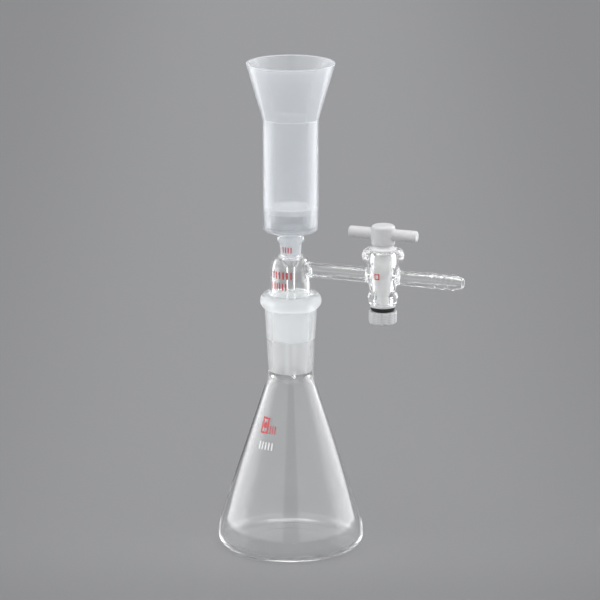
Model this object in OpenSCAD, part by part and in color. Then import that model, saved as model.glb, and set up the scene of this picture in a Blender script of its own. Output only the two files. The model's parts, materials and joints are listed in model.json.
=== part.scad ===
// Filtration set: a funnel with a porous disc, seated in a glass vacuum adapter whose cone
// joint stands in a conical flask. A side arm carries a stopcock and a hose barb.
// Millimetres. The origin is on the flask's axis at the bench, +Z is up, and the side arm
// points along +X. Fused lengths of one glass piece meet face to face in separate nodes.

/* [Flask] */
// Largest diameter of the flask
flask_d = 84; // [82:0.5:86]
// Radius of the corner between the foot and the wall
corner_r = 7; // [6:0.5:8.5]
// Radius of the belly between the corner and the straight cone
belly_r = 40; // [34:1:46]
// Half angle of the conical wall, in degrees
slope = 18.2; // [18:0.1:18.5]
// Thickness of the conical wall
flask_wall = 1.8; // [1.4:0.1:2.2]
// Thickness of the floor
floor_wall = 2.2; // [1.8:0.1:3]
// Inner radius of the ring that the flask stands on
foot_r = 26; // [20:1:30]
// Rise of the floor inside that ring
punt_h = 1; // [0.6:0.1:1.5]
// Outer radius of the neck, where the cone ends
neck_r = 12.8; // [12.5:0.1:13.2]
// Height of the top of the flask's rim
rim_z = 150.5; // [149.8:0.1:150.6]
// Radius of the rolled rim
rim_r = 17.7; // [16.5:0.1:19]

/* [Ground joint] */
// Diameter of the ground joint at its wide end
joint_d = 24; // [23.8:0.1:24.2]
// Taper of the ground joint, as a change of diameter per length
joint_taper = 0.1; // [0.09:0.005:0.11]
// Height of the ground joint's wide end
joint_z = 147; // [146.5:0.5:148]
// Height of the cone's lower end
cone_end_z = 123.6; // [118:0.1:128]
// Radial gap between any two ground or fitted tapers
fit_gap = 0.04; // [0.02:0.01:0.08]

/* [Adapter] */
// Height at which the cone joint becomes the chamber
chamber_z = 151; // [150.8:0.1:151.5]
// Outer radius of the chamber
chamber_r = 11.7; // [11.4:0.1:12]
// Wall of the chamber and of the cone joint
glass_wall = 1.8; // [1.4:0.1:2]
// Height at which the chamber's shoulder begins
shoulder_z = 163; // [162.5:0.1:163.2]
// Height of the shoulder, from there to the funnel socket
shoulder_h = 10; // [9.7:0.1:10.3]
// Outer radius of the funnel socket at its foot
socket_foot_r = 5.75; // [5.5:0.05:6]
// Height of the funnel socket's rim
socket_top_z = 184.5; // [183.5:0.1:185.5]
// Inner radius of the funnel socket at its rim
socket_in_r = 5; // [4.8:0.05:5.1]
// Height of the drip tube's longest point
drip_tip_z = 100; // [97:0.5:110]
// Outer radius of the drip tube
drip_r = 3; // [2.7:0.1:3.3]
// Bore radius of the drip tube
drip_bore_r = 1.85; // [1.5:0.05:2]

/* [Side arm] */
// Height of the side arm's axis
arm_z = 165.3; // [164.5:0.1:166]
// Outer radius of the side arm
arm_r = 4.25; // [4:0.05:4.5]
// Bore radius of the side arm
arm_bore_r = 2.75; // [2.2:0.05:3]
// Distance of the stopcock's axis from the flask's axis
stopcock_x = 56.3; // [52:0.1:60]
// Distance at which the outlet tube becomes the hose barb
barb_x = 83.2; // [80:0.1:84]
// Distance of the hose barb's tip
arm_end_x = 104.5; // [103:0.1:108]
// Radius of the barb's crests
barb_r = 4.6; // [4.4:0.05:4.9]
// Distance from one crest to the next
barb_pitch = 6; // [5.5:0.1:6.2]

/* [Stopcock] */
// Height of the barrel's lower end
barrel_z = 149.2; // [148.8:0.1:149.4]
// Radius of the barrel's top flange
flange_r = 12.2; // [11.5:0.1:12.8]
// Radius of the plug's taper at the side arm's height
plug_r = 5.1; // [4.9:0.05:5.3]
// Taper of the plug, as a change of diameter per length
plug_taper = 0.1; // [0.09:0.005:0.11]
// Radius of the hole through the plug
plug_hole_r = 1; // [0.75:0.05:1.5]
// Radius of the plug's threaded end
thread_r = 3.6; // [3.3:0.05:3.7]
// Pitch of the thread
thread_pitch = 1; // [0.9:0.1:1.5]
// Length of the handle's crossbar
handle_l = 41; // [36:0.5:48]
// Radius of the handle's crossbar
handle_r = 3.3; // [3:0.05:3.6]
// Outer radius of the nut
nut_r = 8.1; // [7.8:0.1:8.6]
// Number of flutes round the nut
nut_flutes = 12; // [8:1:16]

/* [Funnel] */
// Height of the funnel's rim
funnel_top_z = 285; // [275:0.5:292]
// Outer radius of the funnel's rim
funnel_rim_r = 25.45; // [23:0.05:28]
// Height at which the tube opens into the cone
funnel_cone_z = 252.4; // [245:0.1:258]
// Outer radius of the tube there
funnel_tube_r = 16.05; // [15.8:0.05:16.4]
// Height of the underside of the funnel's cup
funnel_floor_z = 187; // [186.5:0.1:188]
// Wall of the funnel
funnel_wall = 1.8; // [1.4:0.05:2]
// Height of the porous disc's upper face
frit_z = 201.5; // [199:0.1:206]
// Thickness of the porous disc
frit_h = 3.2; // [2.5:0.1:4]

/* [Hidden] */
$fn = 96;
over = 1;                  // how far a cut runs past the face that it opens
edge = 0.4;                // bevel on a rim or an end

// Flask: where the belly ends, and where the cone reaches the neck
flask_r = flask_d / 2;
belly_top_r = flask_r - belly_r * (1 - cos(slope));
belly_top_z = corner_r + belly_r * sin(slope);
neck_z = belly_top_z + (belly_top_r - neck_r) / tan(slope);
neck_blend = 6;            // length over which the cone's wall thickens into the neck
socket_rise = 0.058;       // outward lean of the socket's outside
bead_h = 4.25;             // half height of the rolled rim
bead_w = 3.2;              // half width of the rolled rim
bead_z = rim_z - bead_h;

// Cone joint and chamber
cone_waist = 2;            // height of the step from the ground cone in to the chamber
chamber_in_r = chamber_r - glass_wall;
dome_r = 6.5;              // radius at which the shoulder becomes flat
seal_z = shoulder_z + shoulder_h;
seal_in_z = seal_z - glass_wall;
socket_bead_r = 7.75;
socket_bead_h = 4;
socket_out_r = 6.4;        // outside of the funnel socket just under its bead
bead_step = 1;             // height over which it swells into the bead
drip_top_r = 3.7;          // outside of the drip tube just under the ring seal
drip_top_z = 166;
drip_straight_z = 152;     // where the drip tube's outside becomes straight
drip_slant = 40;           // angle of the cut at the drip tube's tip

// Side arm, stopcock barrel and hose barb
flare = 1.3;               // how far an arm swells where it is fused on
flare_l = 3.6;
port_r = 1.25;             // ports through the barrel's wall
arm_seat = 9;              // how far the arms' swollen ends reach from the stopcock's axis
// Outside of the barrel under its flange: a beaded foot, a waist and a swelling for the arms
barrel_side = [[8.1, 151.5], [8.65, 153.3], [8.3, 154.8], [7.25, 157.3], [8, 160], [9.2, 164.5],
               [9.3, 172]];
crest_land = 0.6;          // flat on top of each crest
crest_w = 4.4;             // full width of a crest
crest_x = barb_x + 3;      // first crest
crest_side_r = barb_r - 0.12;
valley_r = barb_r - 0.5;
tip_round = 0.6;
tip_l = 4;                 // length over which the bore narrows to the tip
tip_r = 3;
tip_bore_r = 1.9;
flange_h = 3.8;            // half height of the flange
flange_w = 2.6;            // half width of the flange
flange_z = 177.4;
mouth_z = 178.5;           // floor of the recess under the plug's collar
mouth_r = 7.6;

// Plug, handle, washer, ring and nut, from the thread upwards
thread_end_z = 139;
thread_depth = 0.35;
thread_top_z = barrel_z + 0.4;
shank_top_z = 153.5;       // where the plain shank meets the plug's taper
taper_end_z = 178.4;
collar_r = 7.3;
collar_z = 179;
collar_h = 2.9;
hub_neck_r = 5.95;
hub_r = 6.8;
hub_z = 183.4;
hub_top_z = 195.3;
hub_round = 1.7;
handle_z = 190;
end_round = 1.2;           // rounding of the crossbar's ends
drive_w = 5.6;             // square on top of the plug that turns with the handle
drive_h = 4.2;
face_gap = 0.05;           // play between the barrel, the washer, the ring and the nut
washer_h = 1.4;
ring_h = 2.5;
ring_r = 6.85;
ring_in_r = 3.75;
nut_h = 7.1;
nut_round = 1.1;
flute_r = 1.3;
flute_depth = 0.45;
washer_z = barrel_z - face_gap - washer_h;
ring_z = washer_z - ring_h;
nut_z = ring_z - face_gap - nut_h;

// Funnel
stem_end_z = 171.5;
stem_bore_r = 2.2;
cup_round = 2.5;           // outer rounding of the cup's underside
cup_bottom_r = 15.75;
frit_r = 13.9;
ledge_w = 1.3;             // ledge that the porous disc rests on
cup_floor = 1.5;
lip = 0.5;                 // rounding of the rim

// Radius of the flask's ground socket, the funnel's socket and the plug's taper at a height
function joint_r(z) = joint_d / 2 + (z - joint_z) * joint_taper / 2;
function funnel_fit_r(z) = socket_in_r + (z - socket_top_z) * joint_taper / 2;
function plug_fit_r(z) = plug_r + (z - arm_z) * plug_taper / 2;
// Points of an oval arc about centre c with half axes s, and of a shallow dome of height h
function oval(c, s, from, to, n = 8) =
    [for (i = [0:n]) let (a = from + (to - from) * i / n) [c[0] + s[0] * cos(a), c[1] + s[1] * sin(a)]];
function dome(r, h, z, n = 4) = [for (i = [0:n]) let (q = i / n) [r * q, z + h * (1 - q * q)]];
function reversed(v) = [for (i = [len(v) - 1:-1:0]) v[i]];

module glass() color([0.85, 0.91, 0.93, 0.5]) children();
module ground_glass() color([0.88, 0.9, 0.91]) children();
module polypropylene() color([0.82, 0.86, 0.9, 0.8]) children();
module white_plastic() color([0.95, 0.95, 0.94]) children();
module turned(outline) rotate_extrude() polygon(outline);
module turned_along_arm(outline) translate([0, 0, arm_z]) rotate([0, 90, 0]) turned(outline);
module at_stopcock() translate([stopcock_x, 0, 0]) children();
module arm_rod(r, x0, x1) translate([x0, 0, arm_z]) rotate([0, 90, 0]) cylinder(h = x1 - x0, r = r);

// Conical flask, from its foot to the start of its neck
module flask_body() {
    inner_corner = corner_r - flask_wall;
    inner_belly = belly_r - flask_wall;
    corner = [flask_r - corner_r, corner_r];
    belly = [flask_r - belly_r, corner_r];
    step = 2;              // angle between the corner's end and the belly's first point
    in_corner = [corner[0], floor_wall + inner_corner];
    in_belly = [belly[0], in_corner[1]];
    glass() turned(concat(
        dome(foot_r, punt_h, 0),
        oval(corner, [corner_r, corner_r], -90, 0),
        oval(belly, [belly_r, belly_r], step, slope),
        [[neck_r, neck_z], [joint_r(neck_z), neck_z],
         [neck_r + neck_blend * tan(slope) - flask_wall / cos(slope), neck_z - neck_blend]],
        reversed(oval(in_belly, [inner_belly, inner_belly], step, slope)),
        reversed(oval(in_corner, [inner_corner, inner_corner], -90, 0)),
        reversed(dome(foot_r, punt_h, floor_wall))));
}

// Ground socket of the flask, with its rolled rim
module flask_socket() {
    side_r = neck_r + (bead_z - bead_h - neck_z) * socket_rise;
    ground_glass() turned(concat(
        [[joint_r(neck_z), neck_z], [neck_r, neck_z], [side_r, bead_z - bead_h]],
        oval([rim_r - bead_w, bead_z], [bead_w, bead_h], -75, 90),
        [[joint_r(joint_z) + 1, rim_z], [joint_r(joint_z) + edge, rim_z - 1],
         [joint_r(joint_z), joint_z]]));
}

// Ground cone of the adapter
module cone_joint() {
    ground_z = chamber_z - cone_waist;
    end_r = joint_r(cone_end_z) - fit_gap;
    bore_r = end_r - glass_wall;
    ground_glass() turned(concat(
        [[bore_r, cone_end_z + end_round / 2]],
        oval([end_r - glass_wall / 2, cone_end_z + end_round / 2],
             [glass_wall / 2, end_round / 2], -150, -30, 4),
        [[end_r + end_round * joint_taper / 4, cone_end_z + end_round / 2],
         [joint_r(ground_z) - fit_gap, ground_z],
         [chamber_r, chamber_z], [chamber_in_r, chamber_z]]));
}

// Outside of the chamber as one solid, which also trims the side arm
module chamber_outside()
    turned(concat([[0, chamber_z], [chamber_r, chamber_z]],
        oval([dome_r, shoulder_z], [chamber_r - dome_r, shoulder_h], 0, 90, 12),
        [[0, seal_z]]));

// Domed chamber between the cone joint and the funnel socket
module adapter_chamber() glass() difference() {
    chamber_outside();
    turned(concat([[0, chamber_z - over], [chamber_in_r, chamber_z - over]],
        oval([dome_r, shoulder_z], [chamber_in_r - dome_r, shoulder_h - glass_wall], 0, 90, 12),
        [[socket_foot_r, seal_in_z], [socket_foot_r, seal_z + over], [0, seal_z + over]]));
    arm_rod(arm_bore_r, chamber_in_r / 2, chamber_r + 2 * over);
}

// Small tapered socket that holds the funnel's stem
module funnel_socket() {
    bead = [socket_bead_r - socket_bead_h / 3, socket_top_z - socket_bead_h / 2];
    glass() turned(concat(
        [[funnel_fit_r(seal_z), seal_z], [socket_foot_r, seal_z],
         [socket_out_r, socket_top_z - socket_bead_h - bead_step]],
        oval(bead, [socket_bead_h / 3, socket_bead_h / 2], -90, 90),
        [[socket_in_r + edge, socket_top_z], [funnel_fit_r(socket_top_z - 1), socket_top_z - 1]]));
}

// Drip tube, from the ring seal under the funnel socket to its slanted tip
module drip_tube() glass() difference() {
    turned([[funnel_fit_r(seal_z), seal_z], [socket_foot_r, seal_z], [socket_foot_r, seal_in_z],
        [socket_foot_r - edge, seal_in_z - 1], [drip_top_r + edge, drip_top_z + 1.2],
        [drip_top_r, drip_top_z], [drip_r, drip_straight_z], [drip_r, drip_tip_z],
        [drip_bore_r, drip_tip_z], [drip_bore_r, drip_top_z + edge],
        [funnel_fit_r(seal_in_z), seal_in_z]]);
    translate([drip_r, 0, drip_tip_z]) rotate([0, drip_slant, 0])
        translate([-4 * drip_r, -2 * drip_r, -4 * drip_r]) cube([8 * drip_r, 4 * drip_r, 4 * drip_r]);
}

// Outside of the stopcock's barrel as one solid, which also trims the arms
module barrel_outside()
    at_stopcock() turned(concat(
        [[0, barrel_z], [barrel_side[0][0] - edge, barrel_z], [barrel_side[0][0], barrel_z + edge]],
        barrel_side,
        oval([flange_r - flange_w, flange_z], [flange_w, flange_h], -75, 90, 12),
        [[mouth_r + edge, flange_z + flange_h], [0, flange_z + flange_h]]));

// Barrel of the stopcock, with its tapered seat and a port on each side
module stopcock_barrel() glass() difference() {
    top_z = flange_z + flange_h;
    barrel_outside();
    at_stopcock() turned([[0, barrel_z - over], [plug_fit_r(barrel_z - over) + fit_gap, barrel_z - over],
        [plug_fit_r(mouth_z) + fit_gap, mouth_z], [mouth_r, mouth_z],
        [mouth_r, top_z - edge], [mouth_r + edge + over / 8, top_z + over / 8], [0, top_z + over / 8]]);
    arm_rod(port_r, stopcock_x - flange_r, stopcock_x + flange_r);
}

// Side arm between the chamber and the stopcock, swelling where it is fused to each
module side_arm() glass() difference() {
    turned_along_arm([[arm_bore_r, chamber_in_r / 2], [arm_r + flare, chamber_in_r / 2],
        [arm_r + flare, chamber_r], [arm_r + flare / 4, chamber_r + flare_l / 2],
        [arm_r, chamber_r + flare_l], [arm_r, stopcock_x - arm_seat - flare_l],
        [arm_r + flare / 2, stopcock_x - arm_seat], [arm_r + flare / 2, stopcock_x],
        [arm_bore_r, stopcock_x]]);
    chamber_outside();
    barrel_outside();
}

// Outlet tube between the stopcock and the hose barb
module outlet_tube() glass() difference() {
    turned_along_arm([[arm_bore_r, stopcock_x], [arm_r + flare / 2, stopcock_x],
        [arm_r + flare / 2, stopcock_x + arm_seat], [arm_r, stopcock_x + arm_seat + flare_l],
        [arm_r, barb_x], [arm_bore_r, barb_x]]);
    barrel_outside();
}

// Hose barb with three rounded crests and a narrowed tip
module hose_barb() {
    crests = [for (i = [0:2], p = [[-crest_w / 2, valley_r], [-crest_w / 5, crest_side_r],
        [-crest_land / 2, barb_r], [crest_land / 2, barb_r], [crest_w / 5, crest_side_r],
        [crest_w / 2, valley_r]]) [p[1], crest_x + i * barb_pitch + p[0]]];
    glass() turned_along_arm(concat([[arm_bore_r, barb_x], [arm_r, barb_x]], crests,
        oval([tip_r - tip_round, arm_end_x - tip_round], [tip_round, tip_round], 25, 90, 4),
        [[tip_bore_r, arm_end_x - edge], [arm_bore_r - edge / 2, arm_end_x - tip_l]]));
}

// Square on top of the plug, that the handle is pressed onto
module drive_square()
    translate([stopcock_x - drive_w / 2, -drive_w / 2, hub_z]) cube([drive_w, drive_w, drive_h]);

// Tapered plug with its threaded end, its collar and the square that drives it
module stopcock_plug() {
    grooves = [for (z = [thread_end_z + 0.5:thread_pitch:thread_top_z - thread_pitch],
        p = [[0, 0], [thread_depth, 0.3], [thread_depth, 0.5], [0, 0.8]])
        [thread_r - p[0], z + p[1] * thread_pitch]];
    white_plastic() union() {
        drive_square();
        difference() {
            at_stopcock() turned(concat(
                [[0, thread_end_z], [thread_r - thread_depth, thread_end_z]], grooves,
                [[thread_r, shank_top_z], [plug_fit_r(shank_top_z + 0.5), shank_top_z + 0.5],
                 [plug_fit_r(taper_end_z), taper_end_z], [plug_fit_r(taper_end_z), collar_z],
                 [collar_r, collar_z], [collar_r, collar_z + collar_h - 0.3],
                 [collar_r - 0.3, collar_z + collar_h], [hub_neck_r, collar_z + collar_h + 0.4],
                 [hub_neck_r, hub_z], [0, hub_z]]));
            arm_rod(plug_hole_r, stopcock_x - hub_r, stopcock_x + hub_r);
        }
    }
}

// Hub and crossbar in one moulding, with the crossbar parallel to the plug's hole
module stopcock_handle() white_plastic() difference() {
    union() {
        at_stopcock() turned(concat([[0, hub_z], [hub_neck_r, hub_z]],
            oval([hub_r - hub_round / 2, hub_z + hub_round / 2],
                 [hub_round / 2, hub_round / 2], -80, 0, 4),
            oval([hub_r - hub_round, hub_top_z - hub_round], [hub_round, hub_round], 0, 90, 6),
            [[0, hub_top_z]]));
        translate([stopcock_x - handle_l / 2, 0, handle_z]) rotate([0, 90, 0])
            turned(concat([[0, 0]],
                oval([handle_r - end_round, end_round], [end_round, end_round], -90, 0, 5),
                oval([handle_r - end_round, handle_l - end_round], [end_round, end_round], 0, 90, 5),
                [[0, handle_l]]));
    }
    drive_square();
}

// Flat washer under the barrel
module stopcock_washer()
    color([0.9, 0.91, 0.9]) at_stopcock() turned([[thread_r + face_gap, washer_z],
        [collar_r - 0.2, washer_z], [collar_r, washer_z + 0.2],
        [collar_r, washer_z + washer_h - 0.2], [collar_r - 0.2, washer_z + washer_h],
        [thread_r + face_gap, washer_z + washer_h]]);

// Rubber ring, pressed flat between the washer and the nut
module stopcock_o_ring() {
    side = ring_h / 2;
    color([0.08, 0.08, 0.08]) at_stopcock() turned(concat(
        oval([ring_r - side, ring_z + side], [side, side], -90, 90, 8),
        oval([ring_in_r + side, ring_z + side], [side, side], 90, 270, 8)));
}

// Fluted nut that draws the plug down into the barrel
module stopcock_nut()
    color([0.88, 0.89, 0.88, 0.8]) at_stopcock() difference() {
        turned(concat([[thread_r + face_gap, nut_z]],
            oval([nut_r - nut_round, nut_z + nut_round], [nut_round, nut_round], -90, 0, 5),
            [[nut_r, nut_z + nut_h - 0.4], [nut_r - 0.4, nut_z + nut_h],
             [thread_r + face_gap, nut_z + nut_h]]));
        for (i = [0:nut_flutes - 1]) rotate([0, 0, (i + 0.5) * 360 / nut_flutes])
            translate([nut_r + flute_r - flute_depth, 0, nut_z - 1])
                cylinder(h = nut_h + 2, r = flute_r);
    }

// Moulded funnel: wide rim, straight tube, cup floor and tapered stem
module funnel_body() {
    tube_in_r = funnel_tube_r - funnel_wall;
    ledge_z = frit_z - frit_h;
    under_r = frit_r - ledge_w;
    stem_r = funnel_fit_r(stem_end_z) - fit_gap;
    polypropylene() turned(concat(
        [[stem_bore_r, stem_end_z], [stem_r - 0.3, stem_end_z], [stem_r + 0.02, stem_end_z + 0.4],
         [funnel_fit_r(socket_top_z) - fit_gap, socket_top_z],
         [socket_in_r + 0.1, funnel_floor_z - 0.8], [socket_in_r + 1, funnel_floor_z]],
        oval([cup_bottom_r - cup_round, funnel_floor_z + cup_round],
             [cup_round, cup_round], -90, 0, 6),
        [[funnel_tube_r, funnel_cone_z], [funnel_rim_r, funnel_top_z - lip],
         [funnel_rim_r - lip / 2, funnel_top_z], [funnel_rim_r - funnel_wall + lip / 2, funnel_top_z],
         [funnel_rim_r - funnel_wall, funnel_top_z - lip], [tube_in_r, funnel_cone_z + lip],
         [frit_r, frit_z + lip], [frit_r, ledge_z], [under_r, ledge_z]],
        oval([under_r - cup_round, funnel_floor_z + cup_floor + cup_round],
             [cup_round, cup_round], 0, -90, 6),
        [[stem_bore_r, funnel_floor_z + cup_floor]]));
}

// Porous disc, pressed down onto its ledge
module frit_disc()
    white_plastic() translate([0, 0, frit_z - frit_h]) turned([[0, 0], [frit_r, 0],
        [frit_r, frit_h - 0.4], [frit_r - 0.4, frit_h], [0, frit_h]]);

flask_body();
flask_socket();
cone_joint();
adapter_chamber();
funnel_socket();
drip_tube();
side_arm();
stopcock_barrel();
outlet_tube();
hose_barb();
stopcock_plug();
stopcock_handle();
stopcock_washer();
stopcock_o_ring();
stopcock_nut();
funnel_body();
frit_disc();
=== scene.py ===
"""A small filtration set: a milky plastic funnel with a porous disc, in a glass vacuum adapter
with a stopcock and a hose barb, standing by a ground joint in a conical flask.

Lengths are in millimetres until a mesh is made. The origin is on the flask's axis at the bench,
+Z is up and the adapter's side arm points along +X. Places and sizes come from the CAD frame.
"""
import cmath
import json
import math
import bpy
import bmesh
import numpy as np
from mathutils import Matrix, Vector

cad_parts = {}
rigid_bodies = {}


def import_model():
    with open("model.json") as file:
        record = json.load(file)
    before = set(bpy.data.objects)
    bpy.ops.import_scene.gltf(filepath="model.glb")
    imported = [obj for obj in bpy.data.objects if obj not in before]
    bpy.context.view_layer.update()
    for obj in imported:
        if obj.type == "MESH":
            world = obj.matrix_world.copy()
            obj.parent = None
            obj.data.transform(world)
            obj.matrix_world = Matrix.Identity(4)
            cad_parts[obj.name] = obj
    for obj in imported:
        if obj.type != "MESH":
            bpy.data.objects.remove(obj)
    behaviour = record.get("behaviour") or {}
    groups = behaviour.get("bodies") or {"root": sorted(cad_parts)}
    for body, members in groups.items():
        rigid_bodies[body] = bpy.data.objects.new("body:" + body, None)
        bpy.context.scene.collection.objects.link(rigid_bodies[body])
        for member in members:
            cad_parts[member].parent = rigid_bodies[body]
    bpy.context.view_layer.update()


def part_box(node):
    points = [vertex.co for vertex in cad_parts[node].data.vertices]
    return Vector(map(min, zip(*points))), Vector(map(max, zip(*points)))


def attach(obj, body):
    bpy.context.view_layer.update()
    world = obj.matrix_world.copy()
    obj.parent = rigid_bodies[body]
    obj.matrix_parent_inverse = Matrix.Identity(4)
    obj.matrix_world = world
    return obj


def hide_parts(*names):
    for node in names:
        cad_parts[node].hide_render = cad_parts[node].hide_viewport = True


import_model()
MM = 0.001


def corners(node):
    """Lowest and highest corner of a CAD node, in millimetres."""
    low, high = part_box(node)
    return low / MM, high / MM


def upright(node):
    """Foot, top and radius of a CAD node that is turned round an upright axis."""
    low, high = corners(node)
    return low.z, high.z, high.y


# ---- sizes read from the frame
_, NECK_Z, FLASK_R = upright("flask_body")
_, RIM_Z, RIM_R = upright("flask_socket")
CONE_END_Z, _, _ = upright("cone_joint")
CHAMBER_Z, _, CHAMBER_R = upright("adapter_chamber")
SEAL_Z, SOCKET_TOP_Z, SOCKET_BEAD_R = upright("funnel_socket")
DRIP_TIP_Z, _, _ = upright("drip_tube")
BARREL_Z, BARREL_TOP_Z, FLANGE_R = upright("stopcock_barrel")
THREAD_END_Z, _, COLLAR_R = upright("stopcock_plug")
HUB_Z, HUB_TOP_Z, HUB_R = upright("stopcock_handle")
WASHER_Z, WASHER_TOP_Z, WASHER_R = upright("stopcock_washer")
RING_Z, RING_TOP_Z, RING_R = upright("stopcock_o_ring")
NUT_Z, NUT_TOP_Z, NUT_R = upright("stopcock_nut")
STEM_END_Z, FUNNEL_TOP_Z, FUNNEL_R = upright("funnel_body")
FRIT_Z, FRIT_TOP_Z, FRIT_R = upright("frit_disc")
BARB_LOW, BARB_HIGH = corners("hose_barb")
BARB_X, ARM_END_X, BARB_R = BARB_LOW.x, BARB_HIGH.x, BARB_HIGH.y
ARM_Z = (BARB_LOW.z + BARB_HIGH.z) / 2
BARREL_LOW, BARREL_HIGH = corners("stopcock_barrel")
COCK_X = (BARREL_LOW.x + BARREL_HIGH.x) / 2
HANDLE_LOW, HANDLE_HIGH = corners("stopcock_handle")
HANDLE_L = HANDLE_HIGH.x - HANDLE_LOW.x

# ---- sizes the frame can't say
FLASK_WALL, GLASS_WALL, FLOOR_WALL = 1.8, 1.8, 2.2
FOOT_R, CORNER_R, BELLY_R, NECK_R = 26.0, 7.0, 40.0, 12.8
SLOPE = math.radians(18.2)
JOINT_TAPER = 0.05      # change of radius per length of the ground joints
JOINT_R, JOINT_Z = 12.0, 147.0
FIT_GAP = 0.04
ARM_R, ARM_BORE_R = 4.25, 2.75
DRIP_R, DRIP_BORE_R = 3.0, 1.85
PLUG_R = 5.1            # plug's radius at the side arm's height
THREAD_R, THREAD_DEPTH, THREAD_PITCH, THREAD_GAP = 3.6, 0.35, 1.0, 0.05
THREAD_STEP, THREAD_FADE, LEAD_IN = THREAD_PITCH / 10, 0.5, 0.45
SHANK_TOP_Z = 153.5
MOUTH_R, MOUTH_Z = 7.6, 178.5
HANDLE_R, HANDLE_Z = 3.3, 190.0
PUNT_H = 1.0
NECK_BLEND = 6.0        # length over which the flask's wall thickens into the neck
SOCKET_LEAN = 0.058     # outward lean of the flask socket's outside
BEAD_W, BEAD_H = 3.2, 4.25
GROUND_FOOT_Z, GROUND_TOP_Z = 104.5, 149.8
CONE_WAIST = 2.0
SHOULDER_Z, SHOULDER_H, DOME_R = 163.0, 10.0, 6.5
SOCKET_FOOT_R, SOCKET_OUT_R, SOCKET_BEAD_H, SOCKET_FLARE_H = 5.75, 6.4, 4.0, 7.0
SEAL_IN_Z = 171.2
DRIP_TOP_R, DRIP_TOP_Z, DRIP_SLANT = 3.7, 166.0, 40.0
BARB_PITCH, CREST_W = 6.0, 4.4
TIP_R, TIP_BORE_R, PORT_R = 3.0, 1.9, 1.25
SOCKET_MOUTH_R = 5.5
ADAPTER_HALF = 14.0     # reach of the adapter's mesh to each side of its axis
OPEN = 2.0              # how far a bore runs on past the end that it opens
BARREL_R_AT_ARM, BARREL_LEAN = 9.2, 0.02
FLANGE_W, FLANGE_H = 2.6, 3.8
# radius, height and fillet along the barrel's outside, from its foot to the flange
BARREL_SIDE = [(8.1, BARREL_Z, 0.9), (8.1, 151.3, 1.2), (8.75, 153.2, 1.0), (8.45, 154.9, 1.6),
               (7.15, 157.2, 2.0), (8.1, 160.2, 4.0), (9.2, 164.5, 6.0), (9.35, 172, 4.0),
               (9.6, BARREL_TOP_Z - 2 * FLANGE_H, 0.9)]
FUNNEL_TUBE_R, FUNNEL_WALL, CONE_Z, FUNNEL_ROUND = 16.05, 1.8, 252.4, 0.45
CUP_R, CUP_Z, CUP_ROUND, CUP_FLOOR = 15.75, 187.0, 2.5, 1.5
STEM_BORE_R, LEDGE_W, FRIT_GAP = 2.2, 1.3, 0.02
HIGHLIGHT_BAND = 0.5         # half height of the bands of whiter plastic at the funnel's rim and kink, painted highlights of the bright lines there
THREAD_TOP_Z, TAPER_END_Z = 149.6, 178.4
COLLAR_Z, COLLAR_H = 179.0, 2.9
HUB_NECK_R, HUB_ROUND, END_ROUND = 5.95, 1.7, 1.2
PLUG_HOLE_R, DRIVE_W, DRIVE_H = 1.0, 5.6, 4.2
RING_IN_R = 3.75
NUT_FLUTES, NUT_ROUND, FLUTE_R, FLUTE_DEPTH = 12, 1.1, 1.3, 0.45
FLUTE_FROM_R, FLUTE_EASE = 6.0, 0.15
INK, INK_STEP = (0.01, 0.07), 3     # heights of the printed enamel's faces, and its step in degrees

# ---- camera, in degrees and metres
CAMERA_AZIMUTH, CAMERA_AIM, CAMERA_PITCH = 21.3, 0.1386, 14.06
CAMERA_DISTANCE, CAMERA_HEIGHT = 2.1906, 0.6949
FOCAL_MM = 235.62


def joint_r(z):
    """Radius of the flask's ground socket at a height."""
    return JOINT_R + (z - JOINT_Z) * JOINT_TAPER


def flask_r(z):
    """Radius of the flask's conical outside at a height."""
    return NECK_R + (NECK_Z - z) * math.tan(SLOPE)


def funnel_fit_r(z):
    """Radius of the funnel socket's ground inside at a height."""
    return 5.0 + (z - SOCKET_TOP_Z) * JOINT_TAPER


def plug_fit_r(z):
    """Radius of the stopcock plug's taper at a height."""
    return PLUG_R + (z - ARM_Z) * JOINT_TAPER


# ---- outlines
def rounded(points, step=math.radians(6)):
    """Points and outward normals along an outline of (radius, height, fillet) corners.

    The solid lies to the left of the outline's run. A corner with a fillet becomes an arc.
    Within, a point is the complex number radius + height * 1j.
    """
    corners = [complex(p[0], p[1]) for p in points]
    runs = [(b - a) / abs(b - a) for a, b in zip(corners, corners[1:])]
    spots, normals = [], []
    for i, corner in enumerate(corners):
        fillet = points[i][2] if len(points[i]) > 2 else 0.0
        a, b = runs[max(i - 1, 0)], runs[min(i, len(runs) - 1)]
        turn = cmath.phase(b / a)
        if fillet <= 0 or abs(turn) < 1e-4:
            spots.append(corner)
            normals.append((a + b) / abs(a + b) / 1j)
            continue
        side = math.copysign(1, turn)
        spoke = a * side * fillet / 1j
        centre = corner - a * fillet * math.tan(abs(turn) / 2) - spoke
        count = max(2, math.ceil(abs(turn) / step))
        for k in range(count + 1):
            turned = spoke * cmath.exp(1j * turn * k / count)
            spots.append(centre + turned)
            normals.append(side * turned / fillet)
    return tuple(np.array([(v.real, v.imag) for v in row]) for row in (spots, normals))


def oval(centre, radii, start, end, count=14):
    """Points along an oval arc, with its angles in degrees."""
    angles = np.radians(np.linspace(start, end, count))
    return [(centre[0] + radii[0] * math.cos(t), centre[1] + radii[1] * math.sin(t))
            for t in angles]


# ---- meshes
def placed(name, data):
    """An object in the scene for a mesh or a camera."""
    thing = bpy.data.objects.new(name, data)
    bpy.context.scene.collection.objects.link(thing)
    return thing


def loose_mesh(name, bm):
    """An object in the scene for a bmesh, which is freed."""
    mesh = bpy.data.meshes.new(name)
    bm.to_mesh(mesh)
    bm.free()
    return placed(name, mesh)


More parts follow.
